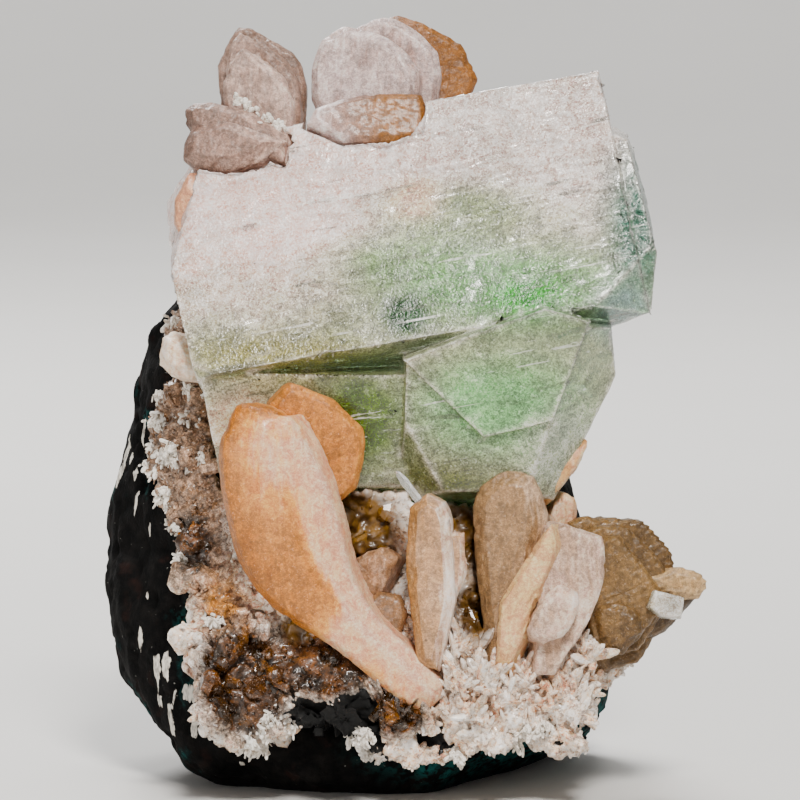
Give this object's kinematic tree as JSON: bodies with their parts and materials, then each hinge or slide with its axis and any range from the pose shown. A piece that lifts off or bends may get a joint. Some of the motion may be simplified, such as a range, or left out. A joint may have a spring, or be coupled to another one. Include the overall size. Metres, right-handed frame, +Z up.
{
  "type": "apophyllite cluster",
  "caption": "Cluster of pale green apophyllite crystals with upright stilbite blades and a zeolite crust, grown on a lump of dark basalt with a flat underside.",
  "frame": {"origin": "middle of the bounding box in X and Y, on the flat underside", "axes": "+Z up, -Y towards the viewer of the picture, +X to the viewer's right"},
  "size_m": [0.0752, 0.0596, 0.0954],
  "materials": {
    "apophyllite": "clear to frosted pale green crystal with flat, glassy faces",
    "stilbite": "translucent peach to pinkish white, pearly on the broad faces",
    "zeolite_crust": "rough druse, pinkish white to honey brown",
    "basalt": "dull, dark grey to black, with teal and white spots"
  },
  "bodies": {
    "root": {"apophyllite_crystals": "apophyllite", "apophyllite_cube_small": "apophyllite", "stilbite_rosette_top": "stilbite", "stilbite_fan_top_left": "stilbite", "stilbite_lobes_left": "stilbite", "stilbite_edge_left": "stilbite", "stilbite_knob_left": "stilbite", "stilbite_blade_large": "stilbite", "stilbite_blade_middle": "stilbite", "stilbite_column": "stilbite", "stilbite_blade_ribbed": "stilbite", "stilbite_plate_right": "stilbite", "stilbite_sheaf_right": "stilbite", "stilbite_blades_under": "stilbite", "stilbite_blocks_low": "stilbite", "zeolite_crust": "zeolite_crust", "basalt_matrix": "basalt"}
  },
  "joints": []
}
